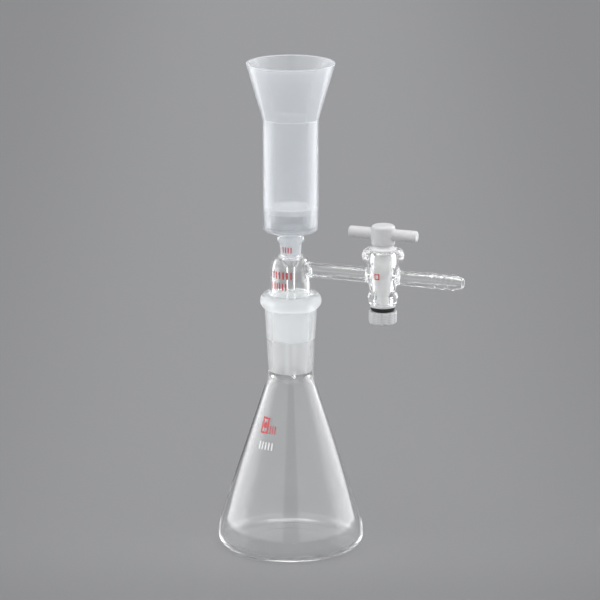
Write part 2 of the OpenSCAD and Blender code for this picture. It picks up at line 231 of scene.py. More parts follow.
def new_piece(name, body, shape, materials, face_slots=None, sharp=None):
    """A mesh piece in metres that rides on a CAD body. shape is (vertices, faces, normals)."""
    vertices, faces, normals = shape
    mesh = bpy.data.meshes.new(name)
    mesh.from_pydata((np.asarray(vertices) * MM).tolist(), [], faces)
    for material in materials:
        mesh.materials.append(material)
    if face_slots is not None:
        mesh.polygons.foreach_set("material_index", np.asarray(face_slots, np.int32))
    mesh.shade_smooth()
    if normals is not None:
        mesh.normals_split_custom_set_from_vertices(np.asarray(normals, float).tolist())
    if sharp is not None:
        mesh.set_sharp_from_angle(angle=math.radians(sharp))
    mesh.update()
    piece = placed(name, mesh)
    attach(piece, body)
    return piece


def face_places(vertices, faces):
    """Distance from the Z axis and height of the middle of each face."""
    middles = np.array([vertices[f].mean(axis=0) for f in faces])
    return np.hypot(middles[:, 0], middles[:, 1]), middles[:, 2]


def lathe(outline, segments=144, centre_x=0.0, shape=None):
    """Vertices, faces and normals of an outline turned round a vertical axis.

    The outline ends on the axis at both ends, or closes on a straight stretch. shape(angle,
    radius, height) may change the radius, for flutes and threads, and then gives no normals.
    """
    spots, flat = rounded(outline)
    closed = np.linalg.norm(spots[0] - spots[-1]) < 1e-6
    if closed:
        spots, flat = spots[:-1], flat[:-1]
    angles = np.arange(segments) * 2 * math.pi / segments
    vertices, normals, rings = [], [], []
    for (r, z), (nr, nz) in zip(spots, flat):
        if r < 1e-6:
            rings.append([len(vertices)] * segments)
            vertices.append((centre_x, 0, z))
            normals.append((0, 0, 1 if nz > 0 else -1))
            continue
        rings.append(list(range(len(vertices), len(vertices) + segments)))
        for angle in angles:
            radius = shape(angle, r, z) if shape else r
            c, s = math.cos(angle), math.sin(angle)
            vertices.append((centre_x + radius * c, radius * s, z))
            normals.append((nr * c, nr * s, nz))
    if closed:
        rings.append(rings[0])
    faces = []
    for low, high in zip(rings, rings[1:]):
        for j in range(segments):
            k = (j + 1) % segments
            ring = [low[j], low[k], high[k], high[j]]
            face = [v for n, v in enumerate(ring) if v != ring[n - 1]]
            if len(face) > 2:
                faces.append(face)
    return np.array(vertices), faces, None if shape else np.array(normals)


# ---- blended solids
class Turned:
    """Signed distance to a turned solid, kept as a fine grid over its half section.

    Its outline is closed by flat ends that run to the axis.
    """

    def __init__(self, outline, soften=0.12, cell=0.1, pad=3.0):
        spots, _ = rounded([(0, outline[0][1]), *outline, (0, outline[-1][1])])
        self.cell, self.z0 = cell, spots[:, 1].min() - pad
        radii = np.arange(0, spots[:, 0].max() + pad, cell)
        heights = np.arange(self.z0, spots[:, 1].max() + pad, cell)
        r, z = np.meshgrid(radii, heights, indexing="ij")
        gap = np.full(r.shape, 1e9)
        inside = np.zeros(r.shape, bool)
        for (r0, z0), (r1, z1) in zip(spots, np.vstack([spots[1:], spots[:1]])):
            if abs(z1 - z0) > 1e-9:
                crosses = (z0 > z) != (z1 > z)
                inside ^= crosses & (r < r0 + (z - z0) * (r1 - r0) / (z1 - z0))
            if max(r0, r1) < 1e-6:
                continue                      # the stretch along the axis is no surface
            run = np.array([r1 - r0, z1 - z0])
            share = ((r - r0) * run[0] + (z - z0) * run[1]) / max(run @ run, 1e-12)
            share = np.clip(share, 0, 1)
            gap = np.minimum(gap, (r - r0 - share * run[0]) ** 2 + (z - z0 - share * run[1]) ** 2)
        field = np.where(inside, -1, 1) * np.sqrt(gap)
        span = math.ceil(2.5 * soften / cell)
        offsets = np.arange(-span, span + 1) * cell
        weights = np.exp(-offsets ** 2 / (2 * soften ** 2))
        weights /= weights.sum()
        for axis in (0, 1):
            wide = np.pad(field, [(span * (k == axis),) * 2 for k in (0, 1)], mode="reflect")
            field = sum(w * np.take(wide, np.arange(k, k + field.shape[axis]), axis)
                        for k, w in enumerate(weights))
        self.field = field

    def __call__(self, radius, height):
        """Distances at some places, and further off where they lie outside the grid."""
        u = np.clip(radius / self.cell, 0, self.field.shape[0] - 1.001)
        v = np.clip((height - self.z0) / self.cell, 0, self.field.shape[1] - 1.001)
        i, j = u.astype(int), v.astype(int)
        s, t = u - i, v - j
        f = self.field
        near = (f[i, j] * (1 - s) + f[i + 1, j] * s) * (1 - t)
        far = (f[i, j + 1] * (1 - s) + f[i + 1, j + 1] * s) * t
        return near + far + np.hypot(radius - u * self.cell, height - self.z0 - v * self.cell)


def joined(a, b, fillet):
    """Union of two distances, with a fillet where they meet."""
    h = np.clip(0.5 + 0.5 * (b - a) / fillet, 0, 1)
    return b * (1 - h) + a * h - fillet * h * (1 - h)


def cut(a, b, edge):
    """Distance a less the solid b, with the edge eased."""
    return -joined(-a, b, edge)


def gradient(distance, points, eps=0.12):
    """Unit outward direction of a distance at some points."""
    slope = np.empty_like(points)
    for axis in range(3):
        step = np.zeros(3)
        step[axis] = eps
        slope[:, axis] = distance(points + step) - distance(points - step)
    return slope / np.maximum(np.linalg.norm(slope, axis=1, keepdims=True), 1e-9)


def skin(distance, low, high, cell, smooth_rounds=6):
    """Quads over the surface where a distance is zero, drawn onto it and evened out."""
    low, high = np.array(low, float), np.array(high, float)
    counts = np.ceil((high - low) / cell).astype(int) + 1
    axes = [first + cell * np.arange(n) for first, n in zip(low, counts)]
    field = np.empty(counts, np.float32)
    y, z = np.meshgrid(axes[1], axes[2], indexing="ij")
    for i, x in enumerate(axes[0]):
        layer = np.stack([np.full(y.size, x), y.ravel(), z.ravel()], axis=1)
        field[i] = distance(layer).reshape(y.shape)
    inside = field < 0
    cells = tuple(counts - 1)
    corner = list(np.ndindex(2, 2, 2))

    def shifted(values, offset):
        return values[tuple(slice(o, o + n) for o, n in zip(offset, cells))]

    full = sum(shifted(inside, o).astype(np.int8) for o in corner)
    active = (full > 0) & (full < 8)
    number = np.full(cells, -1, np.int64)
    number[active] = np.arange(active.sum())
    where = np.argwhere(active)
    total, hits = np.zeros((len(where), 3)), np.zeros(len(where))
    for first in corner:
        for axis in range(3):
            if first[axis]:
                continue
            second = tuple(1 if k == axis else first[k] for k in range(3))
            f0 = field[tuple((where + first).T)]
            f1 = field[tuple((where + second).T)]
            change = (f0 < 0) != (f1 < 0)
            share = np.where(change, f0 / np.where(f0 == f1, 1, f0 - f1), 0)
            spot = where + np.array(first, float)
            spot[:, axis] += share
            total[change] += spot[change]
            hits[change] += 1
    points = low + cell * total / hits[:, None]
    quads = []
    for axis in range(3):
        u, v = (axis + 1) % 3, (axis + 2) % 3
        edge = np.argwhere(np.diff(inside, axis=axis))
        edge = edge[(edge[:, u] > 0) & (edge[:, v] > 0)]
        edge = edge[(edge[:, u] < cells[u]) & (edge[:, v] < cells[v])]
        flips = inside[tuple(edge.T)]
        ring = []
        for du, dv in ((1, 1), (0, 1), (0, 0), (1, 0)):
            place = edge.copy()
            place[:, u] -= du
            place[:, v] -= dv
            ring.append(number[tuple(place.T)])
        ring = np.stack(ring, axis=1)
        ring[~flips] = ring[~flips][:, ::-1]
        quads.append(ring)
    quads = np.vstack(quads)

    def drawn_on(points, rounds):
        for _ in range(rounds):
            points = points - gradient(distance, points) * distance(points)[:, None]
        return points

    points = drawn_on(points, 2)
    pairs = np.vstack([quads[:, [k, (k + 1) % 4]] for k in range(4)])
    valence = np.bincount(pairs.ravel(), minlength=len(points))[:, None]
    for _ in range(smooth_rounds):
        pull = np.zeros_like(points)
        for k in range(3):
            pull[:, k] += np.bincount(pairs[:, 0], points[pairs[:, 1], k], len(points))
            pull[:, k] += np.bincount(pairs[:, 1], points[pairs[:, 0], k], len(points))
        points = drawn_on(points * 0.4 + pull / valence * 0.6, 1)
    return drawn_on(points, 3), quads


def distance_piece(name, body, distance, low, high, cell, materials,
                   levels=(), slot_of=None):
    """A piece made from a distance. Its faces are split at each level, for slot_of to sort."""
    points, quads = skin(distance, low, high, cell)
    bm = bmesh.new()
    corners = [bm.verts.new(p) for p in points]
    for quad in quads:
        bm.faces.new([corners[i] for i in quad])
    for level in levels:
        near = [f for f in bm.faces
                if min(v.co.z for v in f.verts) < level < max(v.co.z for v in f.verts)]
        parts = near + list({e for f in near for e in f.edges})
        parts += list({v for f in near for v in f.verts})
        bmesh.ops.bisect_plane(bm, geom=parts, plane_co=(0, 0, level), plane_no=(0, 0, 1))
    bm.verts.index_update()
    points = np.array([v.co for v in bm.verts])
    faces = [[v.index for v in f.verts] for f in bm.faces]
    bm.free()
    face_slots = None if slot_of is None else slot_of(*face_places(points, faces))
    shape = (points, faces, gradient(distance, points))
    return new_piece(name, body, shape, materials, face_slots)


# ---- shader nodes
def add_node(tree, kind, inputs=None, **settings):
    """Add a node. inputs maps its sockets to numbers, or to outputs that are linked to them."""
    node = tree.nodes.new("ShaderNode" + kind)
    for label, value in settings.items():
        setattr(node, label, value)
    for socket, source in (inputs or {}).items():
        if isinstance(source, bpy.types.NodeSocket):
            tree.links.new(source, node.inputs[socket])
        else:
            node.inputs[socket].default_value = source
    return node


def maths(tree, operation, *inputs):
    """The result of a maths node over outputs and numbers."""
    return add_node(tree, "Math", dict(enumerate(inputs)), operation=operation).outputs[0]


def mapped(tree, source, *ends, easing="SMOOTHERSTEP"):
    """A value moved from one range to another. ends is low, high, new low and new high."""
    inputs = dict(enumerate((source, *ends)))
    return add_node(tree, "MapRange", inputs, interpolation_type=easing).outputs["Result"]


def new_material(name, **settings):
    """A material with one Principled shader. Returns the material, its tree and the shader."""
    material = bpy.data.materials.new(name)
    material.use_nodes = True
    shader = material.node_tree.nodes["Principled BSDF"]
    for label, value in settings.items():
        shader.inputs[label.replace("_", " ")].default_value = value
    return material, material.node_tree, shader


def grain(tree, shader, scale, strength, distance, detail=2.0, stretch=(1, 1, 1)):
    """Fine bump over a material, in object space. scale is in features per metre."""
    place = add_node(tree, "TexCoord").outputs["Object"]
    spread = add_node(tree, "Mapping", {"Vector": place, "Scale": stretch}).outputs["Vector"]
    noise = add_node(tree, "TexNoise", {"Vector": spread, "Scale": scale, "Detail": detail})
    bump = add_node(tree, "Bump", {"Height": noise.outputs["Fac"], "Strength": strength,
                                   "Distance": distance})
    tree.links.new(bump.outputs["Normal"], shader.inputs["Normal"])
    return noise.outputs["Fac"]


def tinted(tree, shader, noise, low, high):
    """Let a noise's strength move the base colour between two colours."""
    ramp = add_node(tree, "ValToRGB", {"Fac": noise})
    for element, position, colour in zip(ramp.color_ramp.elements, NOISE_SPAN, (low, high)):
        element.position, element.color = position, (*colour, 1)
    tree.links.new(ramp.outputs["Color"], shader.inputs["Base Color"])


def shade_base(tree, factor):
    """Multiply a material's base colour by a number that varies over it, which paints shade into
    the colour.
    """
    base = tree.nodes["Principled BSDF"].inputs["Base Color"]
    product = add_node(tree, "VectorMath", {0: base.links[0].from_socket, 1: factor},
                       operation="MULTIPLY")
    tree.links.new(product.outputs["Vector"], base)


def lets_light_through(tree, share):
    """Let shadow rays pass, so that what stands in or behind the glass is lit."""
    surface = tree.nodes["Material Output"].inputs["Surface"]
    path = add_node(tree, "LightPath").outputs["Is Shadow Ray"]
    clear = add_node(tree, "BsdfTransparent", {"Color": (share, share, share, 1)})
    mix = add_node(tree, "MixShader", {0: path, 1: surface.links[0].from_socket,
                                       2: clear.outputs["BSDF"]})
    tree.links.new(mix.outputs["Shader"], surface)


def scatters(tree, shader, colour, share, aslant=None):
    """Mix in light that comes through the surface spread in every direction.

    share is its part head on. aslant is its part where the wall is crossed aslant, which makes
    the way through longer, and the facing values between which it rises to that.
    """
    spread = add_node(tree, "BsdfTranslucent", {"Color": (*colour, 1)}).outputs["BSDF"]
    if aslant:
        to_share, start, end = aslant
        facing = add_node(tree, "LayerWeight", {"Blend": 0.5}).outputs["Facing"]
        share = mapped(tree, facing, start, end, share, to_share, easing="SMOOTHSTEP")
    mix = add_node(tree, "MixShader", {0: share, 1: shader.outputs["BSDF"], 2: spread})
    tree.links.new(mix.outputs["Shader"], tree.nodes["Material Output"].inputs["Surface"])


# ---- materials
def finish(name, bump, tint=None, rough=None, scatter=None, shadow=None, **settings):
    """A material whose noise gives its grain and moves its colour and roughness.

    bump holds the grain's numbers, tint and rough the ranges of colour and roughness, scatter
    the colour and shares of spread light, and shadow the light let through to what is behind.
    """
    material, tree, shader = new_material(name, **settings)
    noise = grain(tree, shader, *bump)
    if tint:
        tinted(tree, shader, noise, *tint)
    if rough:
        roughness = mapped(tree, noise, *NOISE_SPAN, *rough, easing="LINEAR")
        tree.links.new(roughness, shader.inputs["Roughness"])
    if scatter:
        scatters(tree, shader, *scatter)
    if shadow:
        lets_light_through(tree, shadow)
    return material


def ground_glass(name, through, rough, *spread):
    """Glass with a ground surface. through is its clear share, spread that of spread light."""
    return finish(name, (5200.0, 0.35, 0.00008, 3.0),
                  ((0.93, 0.95, 0.955), (0.98, 0.985, 0.985)), rough, (FROST, *spread), 0.85,
                  IOR=GLASS_IOR, Transmission_Weight=through)


def polypropylene(name, through, *spread):
    """Milky plastic. through is its clear share, spread that of spread light."""
    return finish(name, (900.0, 0.06, 0.0002, 2.0), ((0.93, 0.955, 0.97), (0.95, 0.97, 0.985)),
                  (0.16, 0.2), ((0.965, 0.98, 1.0), *spread), 0.5,
                  IOR=1.49, Transmission_Weight=through)


def soft_plastic(name, weight, radius, *looks, **settings):
    """A plastic that light enters, to a depth in metres for each colour."""
    return finish(name, *looks, Subsurface_Weight=weight, Subsurface_Radius=radius,
                  Subsurface_Scale=1.0, **settings)


def nut_plastic():
    """Translucent plastic with darker lines painted into its colour at the thread's pitch: painted
    shade standing in for the thread's turns seen through it.
    """
    material = soft_plastic(
        "translucent_nut", 0.4, (0.003, 0.003, 0.003), (600.0, 0.1, 0.0001),
        ((0.93, 0.945, 0.955), (0.97, 0.975, 0.985)), Roughness=0.3, IOR=1.46,
        Transmission_Weight=0.3)
    tree = material.node_tree
    place = tree.nodes["Texture Coordinate"].outputs["Object"]
    waves_per_metre = math.pi / (10 * THREAD_PITCH * MM)
    wave = add_node(tree, "TexWave", {"Vector": place, "Scale": waves_per_metre},
                    bands_direction="Z")
    # painted shade: darker bands at the thread's pitch
    shade_base(tree, mapped(tree, wave.outputs["Fac"], 0.0, 1.0, 0.78, 1.0, easing="LINEAR"))
    return material


def enamel(name, low, high):
    return finish(name, (3000.0, 0.2, 0.00005, 3.0), (low, high), Roughness=0.35)


NOISE_SPAN = (0.3, 0.7)         # the part of a noise's range that colours and roughness follow
GLASS_IOR, FROST = 1.473, (0.96, 0.975, 0.98)
CLEAR = finish("clear_borosilicate", (22.0, 0.05, 0.002, 1.0), rough=(0.0, 0.012), shadow=1.0,
               Base_Color=(0.995, 1.0, 0.998, 1), Roughness=0.0, IOR=GLASS_IOR,
               Transmission_Weight=1.0)
# painted light: a clearer copy of the ground glass that spreads more light aslant, for the flask's
# inside beside the cone, with a sharp step at the cone's end
GROUND_PAINTED_LIGHT = ground_glass("ground_glass_painted_light", 0.9, (0.2, 0.26), 0.12, (0.6, 0.2, 0.38))
GROUND_LOW = ground_glass("open_ground_glass", 0.82, (0.34, 0.46), 0.08)
GROUND_CONE = ground_glass("ground_cone_glass", 0.15, (0.34, 0.46), 0.5)
# clear glass over the ground inside, given a soft milky tone of spread light: painted light
# standing in for the ground that shows through it
RIM = finish("rolled_rim_glass", (60.0, 0.1, 0.0005, 1.0),
             ((0.97, 0.98, 0.98), (0.99, 0.995, 0.995)), (0.02, 0.06), (FROST, 0.35), 0.6,
             IOR=GLASS_IOR, Transmission_Weight=1.0)
MILKY = polypropylene("milky_polypropylene", 1.0, 0.2, (0.248, 0.02, 0.12))
# whiter copy of the milky plastic for the funnel's rim, kink and stem: a painted highlight on the
# rim and the kink
MILKY_HIGHLIGHT = polypropylene("painted_highlight_polypropylene", 0.6, 0.4, (0.62, 0.03, 0.5))
MILKY_CUP = polypropylene("cup_polypropylene", 1.0, 0.04, (0.6, 0.08, 0.4))
POROUS = soft_plastic("sintered_porous_plastic", 0.3, (0.002, 0.002, 0.002),
                      (2600.0, 0.7, 0.0003, 4.0), ((0.93, 0.93, 0.93), (0.99, 0.99, 0.985)),
                      Roughness=0.85)
PTFE = soft_plastic("turned_ptfe", 0.35, (0.003, 0.003, 0.0028),
                    (420.0, 0.12, 0.0001, 3.0, (1, 1, 14)),
                    ((0.86, 0.87, 0.87), (0.92, 0.92, 0.915)), (0.34, 0.46),
                    Roughness=0.4, IOR=1.38)
HANDLE = soft_plastic("moulded_white_handle", 0.25, (0.0025, 0.0025, 0.0025),
                      (700.0, 0.08, 0.0001, 3.0), ((0.66, 0.665, 0.67), (0.7, 0.7, 0.7)),
                      (0.3, 0.42), Roughness=0.36, IOR=1.46)
WASHER = soft_plastic("pale_washer", 0.4, (0.002, 0.002, 0.002), (800.0, 0.1, 0.0001),
                      ((0.8, 0.82, 0.81), (0.86, 0.87, 0.86)), Roughness=0.35, IOR=1.45,
                      Transmission_Weight=0.25)
NUT = nut_plastic()
RUBBER = finish("black_rubber", (1800.0, 0.25, 0.0001, 4.0),
                ((0.012, 0.012, 0.013), (0.03, 0.03, 0.031)), (0.45, 0.65),
                Roughness=0.55, IOR=1.5, Specular_IOR_Level=0.25)
RED = enamel("red_enamel", (0.55, 0.045, 0.05), (0.68, 0.075, 0.08))
WHITE = enamel("white_enamel", (0.8, 0.8, 0.8), (0.9, 0.9, 0.9))


# ---- flask
def flask_outline():
    """The flask's half section, from the middle of its foot round to the middle of its floor."""
    corner, belly = (FLASK_R - CORNER_R, CORNER_R), (FLASK_R - BELLY_R, CORNER_R)
    in_corner_r, in_belly_r = CORNER_R - FLASK_WALL, BELLY_R - FLASK_WALL
    in_corner = (corner[0], FLOOR_WALL + in_corner_r)
    slope = math.degrees(SLOPE)
    punt = [(FOOT_R * q, PUNT_H * (1 - q * q)) for q in np.linspace(0, 1, 12)]
    bead_z = RIM_Z - BEAD_H
    side_r = NECK_R + (bead_z - BEAD_H - NECK_Z) * SOCKET_LEAN
    bead = oval((RIM_R - BEAD_W, bead_z), (BEAD_W, BEAD_H), -62, 90, 26)
    return (punt + oval(corner, (CORNER_R, CORNER_R), -90, 0, 18)[1:]
            + oval(belly, (BELLY_R, BELLY_R), 1.2, slope, 16)
            + [(NECK_R, NECK_Z, 14.0), (side_r, bead_z - BEAD_H, 1.4)] + bead
            + [(JOINT_R + 1.2, RIM_Z, 0.5), (JOINT_R + 0.25, RIM_Z - 1.4, 1.2), (JOINT_R, JOINT_Z)]
            + [(joint_r(z), z) for z in (CONE_END_Z, GROUND_FOOT_Z)]
            + [(joint_r(NECK_Z), NECK_Z, 5.0),
               (flask_r(NECK_Z - NECK_BLEND) - FLASK_WALL / math.cos(SLOPE), NECK_Z - NECK_BLEND,
                16.0)]
            + oval(belly[:1] + (in_corner[1],), (in_belly_r, in_belly_r), slope, 1.2, 16)
            + oval(in_corner, (in_corner_r, in_corner_r), 0, -90, 18)[:-1]
            + [(r, z + FLOOR_WALL) for r, z in reversed(punt)])


def flask_slots(radius, z):
    """3 for the rolled rim, 1 for the ground inside beside the cone, a clearer copy with painted
    light that spreads more light aslant, 2 below that, else 0.
    """
    inside = radius < np.where(z < JOINT_Z, joint_r(z) + 0.05, JOINT_R + 1.2)
    ground = (z > GROUND_FOOT_Z) & (z < GROUND_TOP_Z) & inside
    rim = (z > RIM_Z - 2 * BEAD_H - 0.5) & ~ground
    return np.where(rim, 3, ground * np.where(z > CONE_END_Z, 1, 2))


def make_flask():
    shape = lathe(flask_outline(), 192)
    piece = new_piece("conical_flask", "flask", shape,
                      [CLEAR, GROUND_PAINTED_LIGHT, GROUND_LOW, RIM], flask_slots(*face_places(*shape[:2])))
    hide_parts("flask_body", "flask_socket")


# ---- adapter
def adapter_distance():
    """Signed distance to the fused glass adapter, with its cone, arms, barrel and barb."""
    end_r, waist_z = joint_r(CONE_END_Z) - FIT_GAP, CHAMBER_Z - CONE_WAIST
    chamber_in_r = CHAMBER_R - GLASS_WALL
    bead = (SOCKET_BEAD_R - SOCKET_BEAD_H / 3, SOCKET_TOP_Z - SOCKET_BEAD_H / 2)
    body = Turned([(end_r, CONE_END_Z, 0.6), (joint_r(waist_z) - FIT_GAP, waist_z, 1.0),
                   (CHAMBER_R, CHAMBER_Z, 2.0), (CHAMBER_R, SHOULDER_Z - 1)]
                  + oval((DOME_R, SHOULDER_Z), (CHAMBER_R - DOME_R, SHOULDER_H), 0, 90, 16)
                  + [(SOCKET_FOOT_R, SEAL_Z, 0.7),
                     (SOCKET_OUT_R, bead[1] - SOCKET_BEAD_H / 2 - 0.4, 0.8)]
                  + oval(bead, (SOCKET_BEAD_H / 3, SOCKET_BEAD_H / 2), -60, 90, 12))
    hollow = Turned([(end_r - GLASS_WALL - 0.2, CONE_END_Z - 4),
                     (end_r - GLASS_WALL, CONE_END_Z + 0.6), (chamber_in_r, CHAMBER_Z, 3.0),
                     (chamber_in_r, SHOULDER_Z - 1)]
                    + oval((DOME_R, SHOULDER_Z),
                           (chamber_in_r - DOME_R, SHOULDER_H - GLASS_WALL), 0, 90, 14))
    drip = Turned([(DRIP_R, DRIP_TIP_Z - 4), (DRIP_R, SHOULDER_Z - 10, 30.0),
                   (DRIP_TOP_R, DRIP_TOP_Z, 2.0), (SOCKET_FOOT_R - 0.4, SEAL_IN_Z - 1, 1.0),
                   (SOCKET_FOOT_R, SEAL_Z)])
    bore = Turned([(DRIP_BORE_R, DRIP_TIP_Z - 6), (DRIP_BORE_R, DRIP_TOP_Z + 0.5, 3.0),
                   (funnel_fit_r(SEAL_IN_Z), SEAL_IN_Z, 2.0),
                   (funnel_fit_r(SOCKET_TOP_Z - 1), SOCKET_TOP_Z - 1),
                   (SOCKET_MOUTH_R, SOCKET_TOP_Z + 0.3, 0.3),
                   (SOCKET_MOUTH_R, SOCKET_TOP_Z + OPEN)])
    crests = [(r, BARB_X + 3 + i * BARB_PITCH + offset, 0.8) for i in range(3)
              for offset, r in ((-CREST_W / 2, BARB_R - 0.5), (-0.4, BARB_R), (0.4, BARB_R),
                                (CREST_W / 2, BARB_R - 0.5))]
    arm_x = chamber_in_r / 2
    arm = Turned([(ARM_R, arm_x), (ARM_R, BARB_X - 0.9, 1.0), (ARM_R + 0.22, BARB_X - 0.3, 0.5),
                  (ARM_R + 0.22, BARB_X + 0.2, 0.5), *crests,
                  (3.35, ARM_END_X - 1.6, 1.6), (TIP_R, ARM_END_X, 0.7)])
    bore_end = BARREL_R_AT_ARM - 0.4
    inlet = Turned([(ARM_BORE_R, arm_x), (ARM_BORE_R, COCK_X - bore_end, 1.6)])
    outlet = Turned([(ARM_BORE_R, COCK_X + bore_end, 1.6), (ARM_BORE_R, ARM_END_X - 5, 4.0),
                     (TIP_BORE_R, ARM_END_X - 1, 2.0), (TIP_BORE_R, ARM_END_X + OPEN)])
    barrel = Turned(BARREL_SIDE + oval((FLANGE_R - FLANGE_W, BARREL_TOP_Z - FLANGE_H),
                                       (FLANGE_W, FLANGE_H), -66, 90, 20))
    seat = Turned([(plug_fit_r(BARREL_Z - 3) + FIT_GAP, BARREL_Z - 3),
                   (plug_fit_r(MOUTH_Z) + FIT_GAP, MOUTH_Z, 0.4), (MOUTH_R, MOUTH_Z, 0.4),
                   (MOUTH_R, BARREL_TOP_Z - 0.7, 0.5), (MOUTH_R + 0.7, BARREL_TOP_Z + 0.2),
                   (MOUTH_R + 0.7, BARREL_TOP_Z + OPEN)])
    slant = Vector((math.sin(math.radians(DRIP_SLANT)), 0, math.cos(math.radians(DRIP_SLANT))))

    def distance(points):
        x, y, z = points[:, 0], points[:, 1], points[:, 2]
        from_axis, from_arm = np.hypot(x, y), np.hypot(y, z - ARM_Z)
        from_cock = np.hypot(x - COCK_X, y)
        glass = joined(body(from_axis, z), arm(from_arm, x), 2.4)
        glass = joined(glass, barrel(from_cock, z), 2.0)
        glass = cut(glass, hollow(from_axis, z), 0.3)
        glass = joined(glass, drip(from_axis, z), 0.8)
        port = np.maximum(from_arm - PORT_R, np.abs(x - COCK_X) - FLANGE_R)
        tip = (x - DRIP_R) * slant.x + (z - DRIP_TIP_Z) * slant.z
        tip = np.where(z < CONE_END_Z - 3, tip, 1e3)
        for solid, edge in ((bore(from_axis, z), 0.3), (inlet(from_arm, x), 0.5),
                            (outlet(from_arm, x), 0.3), (seat(from_cock, z), 0.15),
                            (port, 0.3), (tip, 0.3)):
            glass = cut(glass, solid, edge)
        return glass

    return distance


def make_adapter():
    ground_start, ground_end = CONE_END_Z + 0.5, CHAMBER_Z - CONE_WAIST - 0.4
    socket_start = SEAL_Z + 1.0

    def slot_of(radius, z):
        cone = (z > ground_start) & (z < ground_end) & (radius > joint_r(z) - 0.5)
        socket = (z > socket_start) & (z < SOCKET_TOP_Z - 0.6) & (radius < funnel_fit_r(z) + 0.25)
        return ((cone & (radius < ADAPTER_HALF)) | socket).astype(int)

    piece = distance_piece("glass_adapter", "adapter", adapter_distance(),
                           (-ADAPTER_HALF, -ADAPTER_HALF, DRIP_TIP_Z - 2),
                           (ARM_END_X + 1, ADAPTER_HALF, SOCKET_TOP_Z + 1), 0.5,
                           [CLEAR, GROUND_CONE], (ground_start, ground_end, socket_start), slot_of)
    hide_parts("cone_joint", "adapter_chamber", "funnel_socket", "drip_tube", "side_arm",
                "stopcock_barrel", "outlet_tube", "hose_barb")


# ---- funnel
def make_funnel():
    tube_in_r, under_r = FUNNEL_TUBE_R - FUNNEL_WALL, FRIT_R - LEDGE_W
    outline = [(STEM_BORE_R, STEM_END_Z + 4), (STEM_BORE_R, STEM_END_Z, 0.3),
               (funnel_fit_r(STEM_END_Z) - FIT_GAP, STEM_END_Z, FUNNEL_ROUND),
               (funnel_fit_r(SOCKET_TOP_Z) - FIT_GAP, SOCKET_TOP_Z),
               (5.1, CUP_Z - 0.8, 0.4), (6.0, CUP_Z, 0.5),
               (CUP_R, CUP_Z, CUP_ROUND), (FUNNEL_TUBE_R, CONE_Z, 1.6),
               (FUNNEL_R, FUNNEL_TOP_Z, FUNNEL_ROUND),
               (FUNNEL_R - FUNNEL_WALL, FUNNEL_TOP_Z, FUNNEL_ROUND),
               (tube_in_r, CONE_Z + 0.4, 1.2), (FRIT_R, FRIT_TOP_Z + 0.8, 0.6),
               (FRIT_R, FRIT_Z, 0.1), (under_r, FRIT_Z, 0.25),
               (under_r, CUP_Z + CUP_FLOOR, CUP_ROUND), (STEM_BORE_R, CUP_Z + CUP_FLOOR, 0.8),
               (STEM_BORE_R, STEM_END_Z + 4)]
    shape = lathe(outline, 192)
    radius, z = face_places(*shape[:2])
    kink = (np.abs(z - CONE_Z - 0.4) < HIGHLIGHT_BAND) & (radius < tube_in_r + 0.4)
    # painted highlights: whiter plastic in bands at the rim and the inner kink, and on the stem
    # below the cup
    highlight_bands_and_stem = (z > FUNNEL_TOP_Z - HIGHLIGHT_BAND) | kink | (z < CUP_Z)
    cup = (z > CUP_Z) & (z < FRIT_TOP_Z)
    piece = new_piece("funnel_moulding", "funnel", shape,
                      [MILKY, MILKY_HIGHLIGHT, MILKY_CUP], highlight_bands_and_stem + 2 * cup)
    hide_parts("funnel_body")
    disc_r = FRIT_R - FRIT_GAP
    disc = [(0, FRIT_Z), (disc_r, FRIT_Z, 0.15), (disc_r, FRIT_TOP_Z, 0.5),
            (FRIT_R - 2.5, FRIT_TOP_Z), (0, FRIT_TOP_Z)]
    piece = new_piece("porous_disc", "funnel", lathe(disc, 144), [POROUS])
    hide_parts("frit_disc")


# ---- stopcock
def thread_wave(angle, z):
    """The thread's height between its root, 0, and its crest, 1."""
    turns = z / THREAD_PITCH - angle / (2 * math.pi)
    return 0.5 + 0.5 * min(1, max(-1, 1.5 * math.sin(2 * math.pi * turns)))


def boolean(piece, bm, height, transform, operation):
    """Apply a Boolean with a closed bmesh, set at a height on the stopcock's axis."""
    bm.transform(Matrix.Translation((COCK_X * MM, 0, height * MM)) @ transform)
    other = loose_mesh("other", bm)
    modifier = piece.modifiers.new("join", "BOOLEAN")
    modifier.object, modifier.operation, modifier.solver = other, operation, "EXACT"
    bpy.context.view_layer.update()
    graph = bpy.context.evaluated_depsgraph_get()
    mesh = bpy.data.meshes.new_from_object(piece.evaluated_get(graph))
    piece.modifiers.clear()
    old, piece.data = piece.data, mesh
    bpy.data.meshes.remove(old)
    bpy.data.objects.remove(other)


